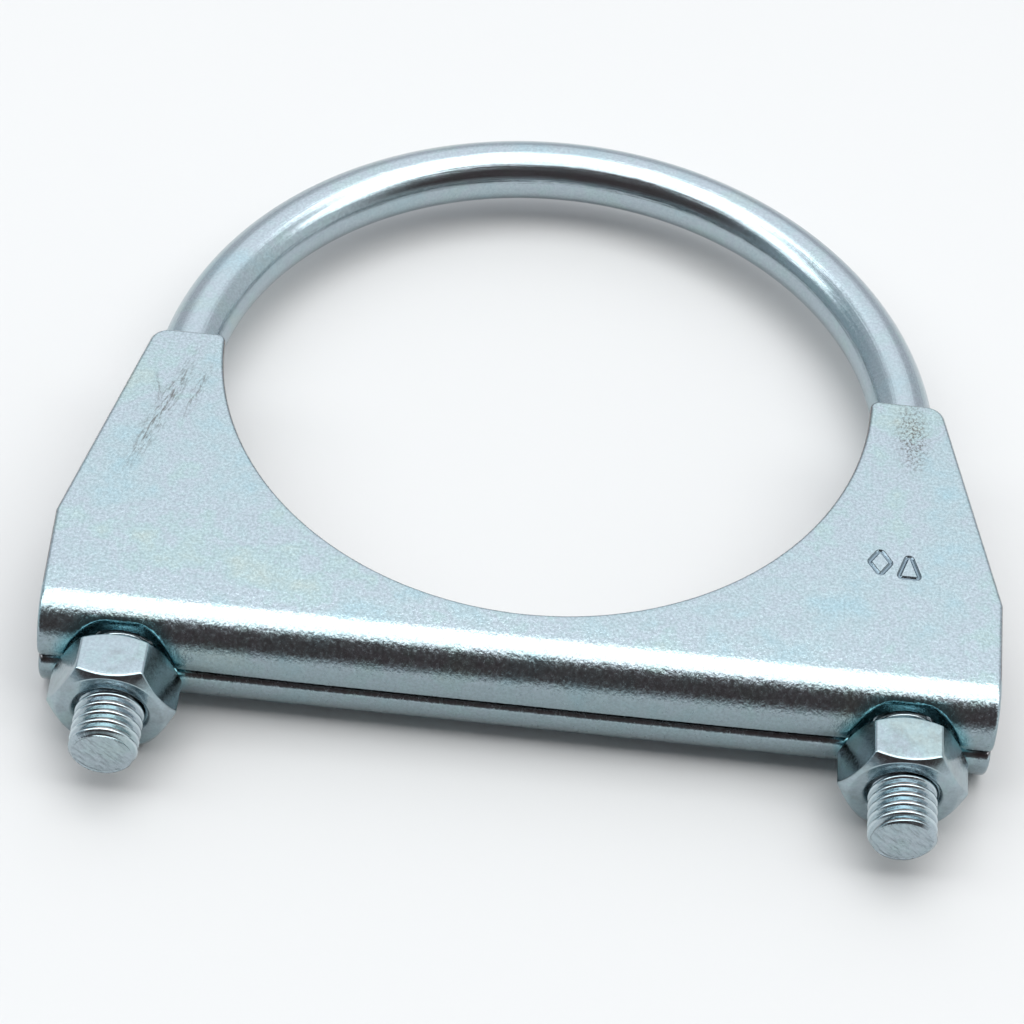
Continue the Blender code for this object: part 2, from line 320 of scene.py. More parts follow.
def add_flow(bolt):
    """Values for the rod's look: coordinates along and around it, the thread's fall, and the ends."""
    count = len(bolt.data.vertices)
    co = np.zeros(count * 3)
    bolt.data.vertices.foreach_get("co", co)
    x, y, z = (co.reshape(-1, 3) - np.array(RING_CENTRE)).T / MM
    bend = np.arctan2(np.maximum(y, 0), x)
    on_leg = y < 0
    axis_x = np.where(x < 0, leg_axis_x("left", y), leg_axis_x("right", y))
    along = np.where(on_leg, np.sign(x) * (RING_R * math.pi / 2 - y), RING_R * (math.pi / 2 - bend))
    across = np.where(on_leg, np.sign(x) * (x - axis_x), np.hypot(x, y) - RING_R)
    reach = np.maximum(np.hypot(across, z), 0.01)
    flow = np.stack([along, across / reach, z / reach], -1)
    layer = bolt.data.attributes.new("flow", "FLOAT_VECTOR", "POINT")
    layer.data.foreach_set("vector", flow.ravel())
    from_end = np.where(x < 0, y - LEG_END["left"], y - LEG_END["right"])
    threaded = on_leg & (from_end > END_CHAMFER) & (from_end < THREAD_LENGTH - RUN_OUT)
    fall = np.where(threaded, np.clip((THREAD_R - reach) / THREAD_DEPTH, 0, 1), 0.5)
    layer = bolt.data.attributes.new("fall", "FLOAT", "POINT")
    layer.data.foreach_set("value", fall)
    layer = bolt.data.attributes.new("sawn", "FLOAT", "POINT")
    layer.data.foreach_set("value", (on_leg & (from_end < 0.2)).astype(float))


# ---------------------------------------------------------------------------------------------------
# Nuts
# ---------------------------------------------------------------------------------------------------


def hexagon_stations():
    """Angles around a nut from the middle of one flat, closer together at the corners, with the radius."""
    apothem = NUT_ACROSS_FLATS / 2
    inner = (apothem - NUT_CORNER_R) / math.cos(math.pi / 6)
    edge = math.atan2(NUT_CORNER_R / 2, inner + NUT_CORNER_R * math.cos(math.pi / 6))
    flat = np.linspace(-math.pi / 6 + edge, math.pi / 6 - edge, NUT_FLAT_POINTS)
    corner = np.linspace(math.pi / 6 - edge, math.pi / 6 + edge, NUT_CORNER_POINTS)[1:-1]
    angles, radii = [], []
    for face in range(6):
        middle = face * math.pi / 3
        angles += [middle + a for a in flat]
        radii += [apothem / math.cos(a) for a in flat]
        for a in corner:
            off = a - math.pi / 6
            angles.append(middle + a)
            radii.append(inner * math.cos(off) + math.sqrt(NUT_CORNER_R**2 - (inner * math.sin(off)) ** 2))
    return np.array(angles), np.array(radii)


def rounded_edge(corner, into, out, radius):
    """Rows of (r, y) that round a corner, between the directions back into it and out of it."""
    rows = []
    for share in np.linspace(0, 1, NUT_EDGE_ROWS):
        a, b = (1 - share) ** 2, share**2
        rows.append([c + radius * (a * i + b * o) for c, i, o in zip(corner, into, out)])
    return rows


def make_nut(side):
    """A nut as one skin of rows: its front face, its flats, its back face and its threaded bore."""
    axis_x, front, back = nut_place(side)
    angles, hexagon_r = hexagon_stations()
    turned = angles - NUT_TURN[side]
    sine, cosine = np.sin(turned), np.cos(turned)
    one, none = np.ones_like(turned), np.zeros_like(turned)
    depth = math.tan(NUT_CHAMFER_ANGLE) * (hexagon_r - NUT_CHAMFER_R)

    face_radii = np.linspace(NUT_FACE_START_R, NUT_CHAMFER_R - NUT_EDGE_R, NUT_FACE_ROWS)
    face = [[radius * one, none] for radius in face_radii]
    down_r, down_y = math.cos(NUT_CHAMFER_ANGLE) * one, math.sin(NUT_CHAMFER_ANGLE) * one
    face += rounded_edge((NUT_CHAMFER_R * one, none), (-one, none), (down_r, down_y), NUT_CHAMFER_EDGE_R)
    face += rounded_edge((hexagon_r, depth), (-down_r, -down_y), (none, one), NUT_EDGE_R)
    height = back - front
    rim = [[r, front + y] for r, y in face]
    side_rows = []
    for share in np.linspace(0, 1, NUT_SIDE_ROWS)[1:-1]:
        y = front + depth + NUT_EDGE_R + share * (height - 2 * depth - 2 * NUT_EDGE_R)
        side_rows.append([hexagon_r, y])
    far_rim = [[r, back - y] for r, y in reversed(face)]
    bore = []
    for y in np.linspace(back, front, NUT_BORE_ROWS):
        cone = NUT_COUNTERSINK_R - min(y - front, back - y) * NUT_COUNTERSINK_SLOPE
        radius = THREAD_R - THREAD_DEPTH * thread_fall(y, sine, cosine)
        radius = np.maximum(radius + NUT_THREAD_CLEARANCE, NUT_MINOR_R)
        bore.append([np.maximum(radius, cone), y * one])
    rows = rim + side_rows + far_rim + bore
    points = [np.stack([axis_x + r * sine, y, r * cosine], -1) for r, y in rows]
    points.append(points[0])
    faces = grid_faces(len(points), len(angles), True)
    return new_piece(f"hex_nut_{side}", np.concatenate(points), faces, f"nut_{side}")


# ---------------------------------------------------------------------------------------------------
# Saddle
# ---------------------------------------------------------------------------------------------------


def meeting_angles(centre_a, radius_a, centre_b, radius_b):
    """Where two circles cross on the side nearer the web's front: the angle there on each, in degrees."""
    dx, dz = centre_b[0] - centre_a[0], centre_b[1] - centre_a[1]
    apart = math.hypot(dx, dz)
    along = (radius_a**2 - radius_b**2 + apart**2) / (2 * apart)
    across = math.sqrt(radius_a**2 - along**2)
    y = centre_a[0] + (along * dx - across * dz) / apart
    z = centre_a[1] + (along * dz + across * dx) / apart
    on_a = math.degrees(math.atan2(z - centre_a[1], y - centre_a[0]))
    on_b = math.degrees(math.atan2(z - centre_b[1], y - centre_b[0]))
    return on_a, on_b


def web_section():
    """Outer and inner faces of the web as (y, z), point for point, from the upper plate to the lower."""
    bend = (WEB_FRONT_Y + BEND_R, HALF_HEIGHT - BEND_R)
    lobe = (WEB_FRONT_Y + LOBE_R, GROOVE_HALF_WIDTH + LOBE_R)
    groove = (GROOVE_ROOT_Y, 0)
    ridge_r = GROOVE_HALF_WIDTH + SHEET
    on_ridge, on_bend = meeting_angles(groove, ridge_r, bend, BEND_R - SHEET)
    outer = [(PLATE_START_Y, HALF_HEIGHT)]
    outer += arc(bend, BEND_R, 90, 180, BEND_STEPS)
    outer += arc(lobe, LOBE_R, 180, 270, LOBE_STEPS)[1:]
    outer += arc(groove, GROOVE_HALF_WIDTH, 90, 0, GROOVE_STEPS)
    inner = [(PLATE_START_Y, HALF_HEIGHT - SHEET)]
    inner += arc(bend, BEND_R - SHEET, 90, on_bend, BEND_STEPS)
    inner += arc(groove, ridge_r, on_ridge, 0, LOBE_STEPS + GROOVE_STEPS + 1)[1:]
    outer += [(y, -z) for y, z in reversed(outer[:-1])]
    inner += [(y, -z) for y, z in reversed(inner[:-1])]
    return np.array(outer), np.array(inner)


def web_columns():
    """X of the web's columns: fine across the two seats, wider elsewhere."""
    reach = SEAT_RIM_R + 0.5
    xs = [np.arange(LEG_X["left"] + reach, LEG_X["right"] - reach, COARSE_STEP)[1:]]
    for side in SIDES:
        xs.append(np.arange(LEG_X[side] - reach, LEG_X[side] + reach, FINE_STEP))
        xs.append([SIDES[side] * (WEB_HALF_WIDTH - EDGE_SUPPORT - 0.3)])
    return np.unique(np.concatenate(xs))


def half_width(y):
    """Half the saddle's width at y, below its shoulders."""
    share = (y - WEB_CORNER_Y) / (SHOULDER_Y - WEB_CORNER_Y)
    return WEB_HALF_WIDTH + (SHOULDER_HALF_WIDTH - WEB_HALF_WIDTH) * share


def seat_cut(radius, depth):
    """How deep the seat is pressed at a radius, with a rounded rim and a rounded foot to its wall."""
    scale = np.minimum(depth / (SEAT_RIM_FILLET + SEAT_FLOOR_FILLET), 1)
    rim, foot = SEAT_RIM_FILLET, SEAT_FLOOR_FILLET
    inward = SEAT_RIM_R - radius
    over_rim = rim - np.sqrt(np.maximum(rim**2 - np.clip(inward, 0, rim) ** 2, 0))
    wall = SEAT_WALL_INSET
    down_wall = np.clip((inward - rim) / wall, 0, 1) * np.maximum(depth - rim - foot, 0)
    to_foot = np.clip(foot - (inward - rim - wall), 0, foot)
    on_foot = np.where(inward > rim + wall, np.sqrt(np.maximum(foot**2 - to_foot**2, 0)), 0)
    return (over_rim + on_foot) * scale + down_wall


def press_web(points, depth_share):
    """Open the crease towards its ends and push the web's faces back at the two seats.

    depth_share is how deep each point lies in the sheet: 0 on the outer face, 1 on the inner.
    """
    x, y, z = points.T
    front = depth_share == 0
    opening = CREASE_OPENING * smooth_step(*CREASE_OPENS_X, np.abs(x)) * (1 - depth_share)
    opening = opening * (1 - smooth_step(*CREASE_LIP_Z, np.abs(z)))
    y = np.where(y < GROOVE_ROOT_Y, np.minimum(y + opening, GROOVE_ROOT_Y), y)
    between_bends = np.abs(z) < HALF_HEIGHT - BEND_R
    for side in SIDES:
        radius = np.hypot(x - LEG_X[side], z)
        flattened = np.minimum(y, GROOVE_FILL_Y) - y
        face = y + flattened * (1 - smooth_step(*GROOVE_FILL_R, radius)) * between_bends
        depth = smooth_max(face, np.full_like(y, SEAT_FLOOR_Y), SEAT_BLEND) - face
        pressed = face + seat_cut(radius, depth)
        boss = BOSS_BACK_Y - BOSS_SLOPE * np.maximum(radius - BOSS_R, 0)
        bulged = smooth_max(y, boss, BOSS_BLEND)
        y = np.where(front, pressed, np.where(radius < BOSS_R + 1, np.maximum(bulged, y), y))
    return np.stack([x, y, z], -1)


def edge_profile():
    """Across a sheared edge from the outer to the inner face: (inset from the edge, depth in the sheet)."""
    turn = np.radians(np.linspace(0, 90, 6))
    upper = [(EDGE_R * (1 - math.sin(a)), EDGE_R * (1 - math.cos(a))) for a in turn]
    lower = [(inset, SHEET - depth) for inset, depth in reversed(upper)]
    return [(EDGE_SUPPORT, 0), *upper, *lower, (EDGE_SUPPORT, SHEET)]


def web_points():
    """The bent web: a closed loop of points around the sheet, for each station of its section."""
    outer, inner = web_section()
    xs = web_columns()
    profile = edge_profile()
    rows = []
    for out, into in zip(outer, inner):
        def edge(sign, inset, depth):
            y, z = out + (into - out) * depth / SHEET
            return sign * (half_width(y) - inset), y, z
        face = np.stack([xs, np.full_like(xs, out[0]), np.full_like(xs, out[1])], -1)
        back = np.stack([xs[::-1], np.full_like(xs, into[0]), np.full_like(xs, into[1])], -1)
        right = np.array([edge(1, *step) for step in profile])
        left = np.array([edge(-1, *step) for step in reversed(profile)])
        rows.append(np.vstack([face, right, back, left]))
    on_edge = np.array([depth / SHEET for inset, depth in profile])
    depth_share = np.concatenate([np.zeros(len(xs)), on_edge, np.ones(len(xs)), on_edge[::-1]])
    points = press_web(np.vstack(rows), np.tile(depth_share, len(rows)))
    return points, grid_faces(len(rows), len(depth_share), True), xs


def plate_outline():
    """Edge of a plate from the web's left end round the ears and the cradle to its right end."""
    start = (-half_width(PLATE_START_Y), PLATE_START_Y)
    shoulder = (-SHOULDER_HALF_WIDTH, SHOULDER_Y)
    ear_outer = (-EAR_OUTER_X, EAR_TOP_Y)
    angle = 180 - math.degrees(math.asin((EAR_TOP_Y - CRADLE_CENTRE_Y) / CRADLE_R))
    cradle = arc((0, CRADLE_CENTRE_Y), CRADLE_R, angle, 540 - angle, CRADLE_STEPS)
    half = [start]
    half += rounded_corner(start, shoulder, ear_outer, SHOULDER_CORNER_R, 6)
    half += rounded_corner(shoulder, ear_outer, cradle[0], EAR_OUTER_CORNER_R, 16)
    half += rounded_corner(ear_outer, cradle[0], cradle[1], EAR_INNER_CORNER_R, 10)
    below_corners = [point for point in cradle if point[1] < EAR_TOP_Y - EAR_INNER_CORNER_R - 0.3]
    return np.array(half + below_corners + mirrored(half))


def plate_mesh(xs, sign):
    """One plate with rounded edges. It meets the web along the line where the bend starts."""
    outline = plate_outline()
    step = np.diff(outline, axis=0)
    step /= np.linalg.norm(step, axis=1, keepdims=True)
    tangent = np.vstack([step[:1], step[:-1] + step[1:], step[-1:]])
    tangent /= np.linalg.norm(tangent, axis=1, keepdims=True)
    inward = np.stack([tangent[:, 1], -tangent[:, 0]], -1)
    inward[0], inward[-1] = (1, 0), (-1, 0)
    profile = edge_profile()
    rows = []
    for inset, depth in profile:
        edge = outline + inward * inset
        rows.append(np.column_stack([edge, np.full(len(edge), sign * (HALF_HEIGHT - depth))]))
    count = len(outline)
    faces = grid_faces(len(profile), count, False)
    points = np.vstack(rows)
    level = np.ones(len(xs))
    for row, height in ((0, HALF_HEIGHT), (len(profile) - 1, HALF_HEIGHT - SHEET)):
        front = np.column_stack([xs[::-1], PLATE_START_Y * level, sign * height * level])
        ring = list(range(row * count, (row + 1) * count))
        ring += list(range(len(points), len(points) + len(front)))
        faces.append(ring)
        points = np.vstack([points, front])
    return points, faces


def cutter(name, mesh):
    """An object that is only there to be cut out of a piece."""
    item = bpy.data.objects.new(name, mesh)
    bpy.context.scene.collection.objects.link(item)
    return item


def cut(piece, tools):
    """Take the tools out of a piece, and apply the result to its mesh."""
    for tool in tools:
        modifier = piece.modifiers.new(tool.name, "BOOLEAN")
        modifier.operation = "DIFFERENCE"
        modifier.solver = "EXACT"
        modifier.object = tool
    bpy.context.view_layer.update()
    result = bpy.data.meshes.new_from_object(piece.evaluated_get(bpy.context.evaluated_depsgraph_get()))
    piece.modifiers.clear()
    piece.data = result
    for tool in tools:
        bpy.data.objects.remove(tool, do_unlink=True)


def leg_hole(side):
    """A cutter for the round hole that a leg passes through."""
    shape = bmesh.new()
    bmesh.ops.create_cone(
        shape,
        cap_ends=True,
        segments=96,
        radius1=LEG_HOLE_R * MM,
        radius2=LEG_HOLE_R * MM,
        depth=LEG_HOLE_LENGTH * MM,
    )
    place = Matrix.Translation(RING_CENTRE + Vector((LEG_X[side], SEAT_FLOOR_Y, 0)) * MM)
    shape.transform(place @ Matrix.Rotation(math.pi / 2, 4, "X"))
    mesh = bpy.data.meshes.new(f"leg_hole_{side}")
    shape.to_mesh(mesh)
    shape.free()
    return cutter(mesh.name, mesh)


# Mark stamped in the right wing: a lozenge beside a triangle, with rounded corners
MARK_CENTRE = (42.6, -23.8)
MARK_SPREAD = 1.7
MARK_HALF_WIDTH = 1.3
MARK_HALF_HEIGHT = 2.0
MARK_CORNER_R = 0.36
MARK_STROKE_R = 0.33
MARK_DEPTH = 0.23


def mark_outlines():
    """The two closed outlines of the mark, each with its name."""
    middle_x, middle_y = MARK_CENTRE
    low, high = middle_y - MARK_HALF_HEIGHT, middle_y + MARK_HALF_HEIGHT
    x = middle_x - MARK_SPREAD
    lozenge = [(x - MARK_HALF_WIDTH, middle_y), (x, high), (x + MARK_HALF_WIDTH, middle_y), (x, low)]
    x = middle_x + MARK_SPREAD
    triangle = [(x - MARK_HALF_WIDTH, low), (x, high), (x + MARK_HALF_WIDTH, low)]
    outlines = {}
    for name, corners in (("lozenge_mark", lozenge), ("triangle_mark", triangle)):
        outline = []
        for before, corner, after in zip(corners[-1:] + corners[:-1], corners, corners[1:] + corners[:1]):
            outline += rounded_corner(before, corner, after, MARK_CORNER_R, 6)
        outlines[name] = outline
    return outlines


def stamp(name, outline):
    """A cutter of round section that follows a closed outline along the top of the upper plate."""
    curve = bpy.data.curves.new(name, "CURVE")
    curve.dimensions = "3D"
    curve.bevel_depth = MARK_STROKE_R * MM
    curve.bevel_resolution = 3
    spline = curve.splines.new("POLY")
    spline.points.add(len(outline) - 1)
    height = HALF_HEIGHT + MARK_STROKE_R - MARK_DEPTH
    for point, (x, y) in zip(spline.points, outline):
        point.co = (*(RING_CENTRE + Vector((x, y, height)) * MM), 1)
    spline.use_cyclic_u = True
    drawn = cutter(f"{name}_line", curve)
    bpy.context.view_layer.update()
    mesh = bpy.data.meshes.new_from_object(drawn.evaluated_get(bpy.context.evaluated_depsgraph_get()))
    bpy.data.objects.remove(drawn, do_unlink=True)
    return cutter(name, mesh)


def make_saddle():
    """The bent web and both plates as one skin, with the leg holes and the mark cut out of it."""
    points, faces, xs = web_points()
    for sign in (1, -1):
        more, plate_faces = plate_mesh(xs, sign)
        faces += [[i + len(points) for i in face] for face in plate_faces]
        points = np.vstack([points, more])
    saddle = new_piece("pressed_saddle", points, faces, "saddle")
    tools = [leg_hole(side) for side in SIDES]
    tools += [stamp(name, outline) for name, outline in mark_outlines().items()]
    cut(saddle, tools)
    saddle.data.shade_smooth()
    saddle.data.set_sharp_from_angle(angle=SHARP_ANGLE)
    return saddle


# ---------------------------------------------------------------------------------------------------
# Materials
# ---------------------------------------------------------------------------------------------------


class Nodes:
    """Adds shader nodes to a tree and links them."""

    def __init__(self, tree):
        self.tree = tree

    def add(self, kind, inputs=None, **settings):
        node = self.tree.nodes.new(kind)
        for key, value in settings.items():
            setattr(node, key, value)
        for key, value in (inputs or {}).items():
            self.feed(node.inputs[key], value)
        return node

    def feed(self, socket, value):
        if isinstance(value, bpy.types.NodeSocket):
            self.tree.links.new(value, socket)
        else:
            socket.default_value = value

    def maths(self, operation, a, b=0.0, c=0.0):
        node = self.add("ShaderNodeMath", operation=operation)
        for socket, value in zip(node.inputs, (a, b, c)):
            self.feed(socket, value)
        return node.outputs[0]

    def ranged(self, value, low, high, to_low=0.0, to_high=1.0):
        inputs = {"Value": value, "From Min": low, "From Max": high, "To Min": to_low, "To Max": to_high}
        node = self.add("ShaderNodeMapRange", inputs, interpolation_type="SMOOTHSTEP")
        return node.outputs["Result"]

    def noise(self, vector, scale, detail=2.0, roughness=0.5):
        inputs = {"Vector": vector, "Scale": scale, "Detail": detail, "Roughness": roughness}
        return self.add("ShaderNodeTexNoise", inputs).outputs["Fac"]

    def mix(self, share, a, b):
        node = self.add("ShaderNodeMix", data_type="RGBA")
        self.feed(node.inputs["Factor"], share)
        self.feed(node.inputs["A"], a)
        self.feed(node.inputs["B"], b)
        return node.outputs["Result"]

    def scaled(self, vector, scale, turn=(0, 0, 0)):
        inputs = {"Vector": vector, "Scale": scale, "Rotation": turn}
        return self.add("ShaderNodeMapping", inputs).outputs["Vector"]

    def from_ring_centre(self, place):
        """X, Y and Z of a place in millimetres from the ring's centre."""
        moved = self.add("ShaderNodeVectorMath", operation="SUBTRACT")
        self.feed(moved.inputs[0], place)
        moved.inputs[1].default_value = RING_CENTRE
        split = self.add("ShaderNodeSeparateXYZ", {"Vector": self.scaled(moved.outputs[0], (1 / MM,) * 3)})
        return [split.outputs[axis] for axis in "XYZ"]

    def distance(self, a, b):
        return self.maths("SQRT", self.maths("MULTIPLY_ADD", a, a, self.maths("MULTIPLY", b, b)))


def new_look(name):
    """A metallic material, its node helper and its shader."""
    material = bpy.data.materials.new(name)
    material.use_nodes = True
    nodes = Nodes(material.node_tree)
    shader = material.node_tree.nodes["Principled BSDF"]
    shader.inputs["Metallic"].default_value = 1.0
    return material, nodes, shader


# Tones of the plating, and tints that stain it: where in the noise, and how much of red, green and blue
SHEET_TONE = (0.365, 0.46, 0.49)
ROD_TONE = (0.385, 0.47, 0.505)
NUT_TONE = (0.345, 0.44, 0.47)
PATCH_TINTS = (
    (0.30, (0.92, 1.02, 1.05)),
    (0.44, (1.0, 1.0, 1.0)),
    (0.52, (1.04, 0.98, 1.01)),
    (0.60, (0.98, 1.02, 0.99)),
    (0.72, (1.07, 1.03, 0.94)),
)


def zinc_colour(nodes, place, tone, stain, sparkle):
    """Bright zinc: a blue-grey tone with faint blue, pink, green and yellow patches and a fine sparkle."""
    patches = nodes.noise(place, 110, 5.0, 0.65)
    ramp = nodes.add("ShaderNodeValToRGB", {"Fac": patches})
    elements = ramp.color_ramp.elements
    while len(elements) < len(PATCH_TINTS):
        elements.new(0.5)
    for element, (position, tint) in zip(elements, PATCH_TINTS):
        element.position = position
        element.color = (*[c * (1 - stain + stain * t) for c, t in zip(tone, tint)], 1)
    mottle = nodes.noise(place, 3000, 3.0, 0.65)
    shade = nodes.ranged(mottle, 0.3, 0.7, 1 - sparkle, 1 + sparkle)
    lit = nodes.add("ShaderNodeVectorMath", operation="SCALE")
    nodes.feed(lit.inputs[0], ramp.outputs["Color"])
    nodes.feed(lit.inputs["Scale"], shade)
    return lit.outputs["Vector"]


def bumped(nodes, height, distance, strength=1.0, normal=None):
    """The surface normal, roughened by a height, on top of another normal if one is given."""
    inputs = {"Height": height, "Distance": distance, "Strength": strength}
    if normal is not None:
        inputs["Normal"] = normal
    return nodes.add("ShaderNodeBump", inputs).outputs["Normal"]


SCUFFS = (
    # centre in millimetres, half length, half width, turn in degrees, darkness, noise scale along it
    ((-45.5, -11.4), 12.5, 1.6, 74, 0.75, 500),
    ((-41.8, -8.0), 6.0, 1.1, 78, 0.55, 600),
    ((-46.4, -8.0), 3.4, 0.7, 106, 0.5, 600),
    ((44.6, -3.4), 7.0, 2.6, 92, 0.9, 2200),
)


def scuff_mask(nodes, place):
    """Dark rubbed patches on the ears: soft ellipses broken up by noise that runs along them."""
    total = None
    for (x, y), half_length, half_width_mm, turn, darkness, along in SCUFFS:
        centre = RING_CENTRE + Vector((x, y, HALF_HEIGHT)) * MM
        moved = nodes.add("ShaderNodeVectorMath", operation="SUBTRACT")
        nodes.feed(moved.inputs[0], place)
        moved.inputs[1].default_value = centre
        turned = nodes.add(
            "ShaderNodeVectorRotate",
            {"Vector": moved.outputs[0], "Angle": -math.radians(turn)},
            rotation_type="Z_AXIS",
        )
        scaled = nodes.scaled(turned.outputs[0], (1 / half_length / MM, 1 / half_width_mm / MM, 400))
        distance = nodes.add("ShaderNodeVectorMath", operation="LENGTH")
        nodes.feed(distance.inputs[0], scaled)
        inside = nodes.ranged(distance.outputs["Value"], 1.15, 0.2)
        streaks = nodes.noise(nodes.scaled(turned.outputs[0], (along, 2600, 1000)), 1.0, 4.0, 0.7)
        broken = nodes.ranged(streaks, 0.45, 0.62)
        share = nodes.maths("MULTIPLY", nodes.maths("MULTIPLY", inside, broken), darkness)
        total = share if total is None else nodes.maths("MAXIMUM", total, share)
    return total


# Where shade is painted into the crease of the web: near its middle plane, and back from its front
CREASE_SHADE_Z = (0.7, 0.35)
CREASE_SHADE_Y = (-45.4, -45.0)

# Where a seat is painted darker and bluer as shade around the nut: near the leg's axis, and towards the
# web's front
SEAT_SHADE_R = (8.4, 6.6)
SEAT_SHADE_Y = (-42.7, -43.3)

# Colours that wear and sheared edges turn the sheet to, and colours of the shade painted on the web's
# front, in the mark, in the seats and in the crease
SCUFF_COLOUR = (0.10, 0.09, 0.08, 1)
WEB_FRONT_SHADE_COLOUR = (0.17, 0.23, 0.25, 1)
SHEARED_COLOUR = (0.15, 0.12, 0.11, 1)
MARK_SHADE_COLOUR = (0.13, 0.19, 0.24, 1)
SEAT_SHADE_COLOUR = (0.15, 0.38, 0.43, 1)
CREASE_SHADE_COLOUR = (0.09, 0.055, 0.05, 1)

SHEET_ROUGHNESS = (0.14, 0.28)
SHEET_GRAIN_DEPTH = 0.052
SHEET_WAVE_DEPTH = 0.05


def sheet_look():
    """Satin sheet: scuffed ears and darker sheared edges, with painted shade on the web's front, in the
    mark, in the bluer seats and in the crease.
    """
    material, nodes, shader = new_look("zinc_sheet")
    place = nodes.add("ShaderNodeTexCoord").outputs["Object"]
    colour = zinc_colour(nodes, place, SHEET_TONE, 1.0, 0.17)
    colour = nodes.mix(scuff_mask(nodes, place), colour, SCUFF_COLOUR)
    normal = nodes.add("ShaderNodeNewGeometry").outputs["Normal"]
    split = nodes.add("ShaderNodeSeparateXYZ", {"Vector": normal})
    upright = nodes.maths("ABSOLUTE", split.outputs["Z"])
    x, y, z = nodes.from_ring_centre(place)
    # Painted shade: the steep faces at the web's front are darkened towards a dark blue-grey by which way
    # they face
    front_shade = nodes.maths("MULTIPLY", nodes.ranged(upright, 0.6, 0.25), nodes.ranged(y, -41.5, -43.0))
    colour = nodes.mix(nodes.maths("MULTIPLY", front_shade, 0.55), colour, WEB_FRONT_SHADE_COLOUR)
    on_plate = nodes.ranged(y, PLATE_START_Y - 0.2, PLATE_START_Y + 0.3)
    edge = nodes.maths("MULTIPLY", nodes.ranged(upright, 0.97, 0.45), on_plate)
    colour = nodes.mix(nodes.maths("MULTIPLY", edge, 0.88), colour, SHEARED_COLOUR)
    mark_x, mark_y = MARK_CENTRE
    from_mark = nodes.distance(nodes.maths("SUBTRACT", x, mark_x), nodes.maths("SUBTRACT", y, mark_y))
    below_top = nodes.ranged(z, HALF_HEIGHT - 0.02, HALF_HEIGHT - 0.16)
    # Painted shade: the floor and walls of the stamped mark's grooves are darkened towards a dark blue
    mark_shade = nodes.maths("MULTIPLY", nodes.ranged(from_mark, 4.5, 4.0), below_top)
    colour = nodes.mix(nodes.maths("MULTIPLY", mark_shade, 0.7), colour, MARK_SHADE_COLOUR)
    # Painted shade: the crease of the web is darkened towards dark brown, less so near the seats
    crease_shade = nodes.ranged(nodes.maths("ABSOLUTE", z), *CREASE_SHADE_Z)
    crease_shade = nodes.maths("MULTIPLY", crease_shade, nodes.ranged(y, *CREASE_SHADE_Y))
    near_front = nodes.ranged(y, *SEAT_SHADE_Y)
    for side in SIDES:
        from_axis = nodes.distance(nodes.maths("SUBTRACT", x, LEG_X[side]), z)
        crease_shade = nodes.maths("MULTIPLY", crease_shade, nodes.ranged(from_axis, *GROOVE_FILL_R))
        # Painted shade: the seat around each nut is darkened and turned teal
        seat_shade = nodes.maths("MULTIPLY", nodes.ranged(from_axis, *SEAT_SHADE_R), near_front)
        colour = nodes.mix(nodes.maths("MULTIPLY", seat_shade, 0.8), colour, SEAT_SHADE_COLOUR)
    colour = nodes.mix(nodes.maths("MULTIPLY", crease_shade, 0.7), colour, CREASE_SHADE_COLOUR)
    nodes.feed(shader.inputs["Base Color"], colour)
    grain = nodes.noise(nodes.scaled(place, (2500, 1900, 1900)), 1.0, 3.0, 0.6)
    wave = nodes.noise(place, 160, 2.0, 0.5)
    nodes.feed(shader.inputs["Roughness"], nodes.ranged(grain, 0.3, 0.7, *SHEET_ROUGHNESS))
    soft = bumped(nodes, wave, SHEET_WAVE_DEPTH * MM)
    roughened = nodes.ranged(y, PLATE_START_Y + 4, PLATE_START_Y, 0.5, 1.0)
    nodes.feed(shader.inputs["Normal"], bumped(nodes, grain, SHEET_GRAIN_DEPTH * MM, roughened, soft))
    return material


# Painted shade and dirt in the thread roots, and a painted highlight on the thread crests
THREAD_ROOT_SHADE_COLOUR = (0.10, 0.07, 0.06, 1)
THREAD_CREST_HIGHLIGHT_COLOUR = (0.66, 0.76, 0.80, 1)
SAW_MARK_COLOUR = (0.13, 0.16, 0.17, 1)
SAW_MARK_TURN = math.radians(-50)
SAW_MARK_DEPTH = 0.02
ROD_ROUGHNESS = (0.14, 0.26)
ROD_LINE_DEPTH = 0.03
ROD_DENT_DEPTH = 0.03
ROD_GRAIN_DEPTH = 0.006


